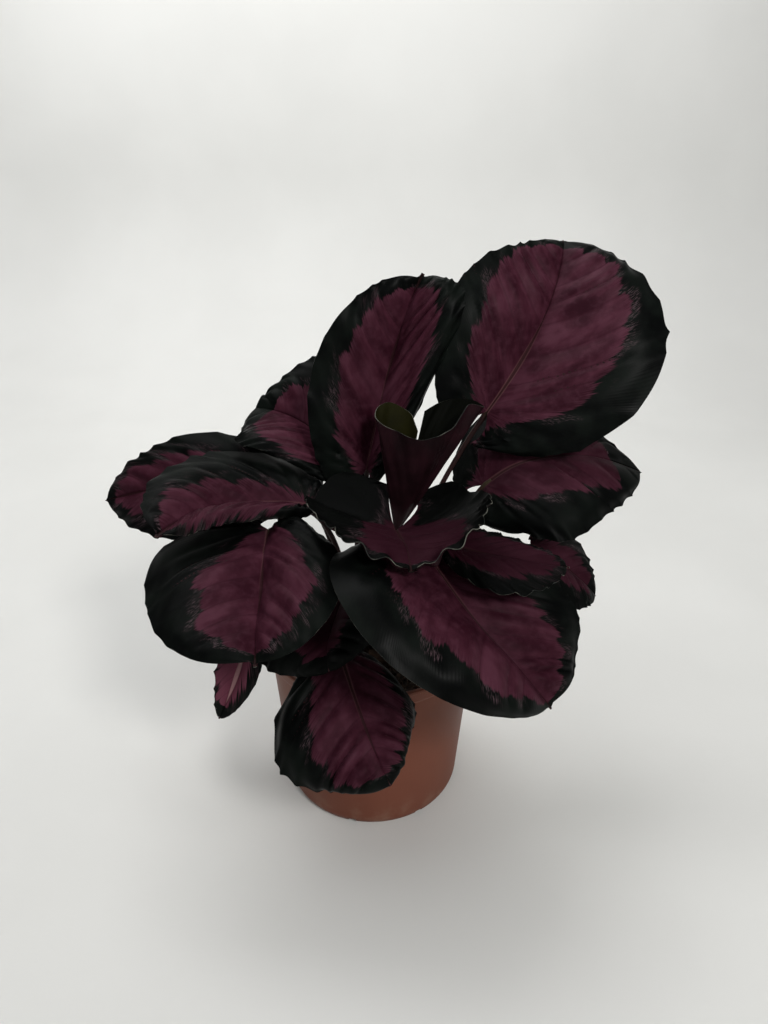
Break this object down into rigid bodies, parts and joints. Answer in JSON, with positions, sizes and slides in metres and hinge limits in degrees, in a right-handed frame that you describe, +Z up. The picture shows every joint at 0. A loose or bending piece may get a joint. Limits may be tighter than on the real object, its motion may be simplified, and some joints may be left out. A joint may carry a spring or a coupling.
{
  "type": "potted crimson calathea",
  "caption": "Potted prayer plant with round near-black leaves and feathered crimson centres, the youngest still rolled, in a tapered terracotta-coloured nursery pot.",
  "frame": {"origin": "middle of the pot's underside, on the surface that it stands on", "axes": "+Z up; the low leaves in front point towards -Y; the tallest leaf leans towards +X"},
  "size_m": [0.4041, 0.2403, 0.4055],
  "materials": {
    "pot_plastic": "satin terracotta-coloured moulded plastic",
    "peat": "moist crumbly potting mix",
    "rhizome_skin": "scaly matt skin",
    "leaf_stalk": "smooth dark stalk, satin",
    "leaf_blade": "satin leaf, near-black green margin and crimson centre"
  },
  "bodies": {
    "root": {"pot": "pot_plastic", "potting_soil": "peat", "rhizome": "rhizome_skin", "leaf_upper_right": "leaf_blade", "stalk_upper_right": "leaf_stalk", "leaf_top": "leaf_blade", "stalk_top": "leaf_stalk", "leaf_back_left": "leaf_blade", "stalk_back_left": "leaf_stalk", "leaf_far_left": "leaf_blade", "stalk_far_left": "leaf_stalk", "leaf_upper_left": "leaf_blade", "stalk_upper_left": "leaf_stalk", "leaf_lower_left": "leaf_blade", "stalk_lower_left": "leaf_stalk", "leaf_low_left": "leaf_blade", "stalk_low_left": "leaf_stalk", "leaf_low_middle": "leaf_blade", "stalk_low_middle": "leaf_stalk", "leaf_front": "leaf_blade", "stalk_front": "leaf_stalk", "leaf_front_right": "leaf_blade", "stalk_front_right": "leaf_stalk", "leaf_middle": "leaf_blade", "stalk_middle": "leaf_stalk", "leaf_right": "leaf_blade", "stalk_right": "leaf_stalk", "leaf_far_right": "leaf_blade", "stalk_far_right": "leaf_stalk", "leaf_middle_right": "leaf_blade", "stalk_middle_right": "leaf_stalk", "leaf_young": "leaf_blade", "stalk_young": "leaf_stalk"}
  },
  "joints": []
}
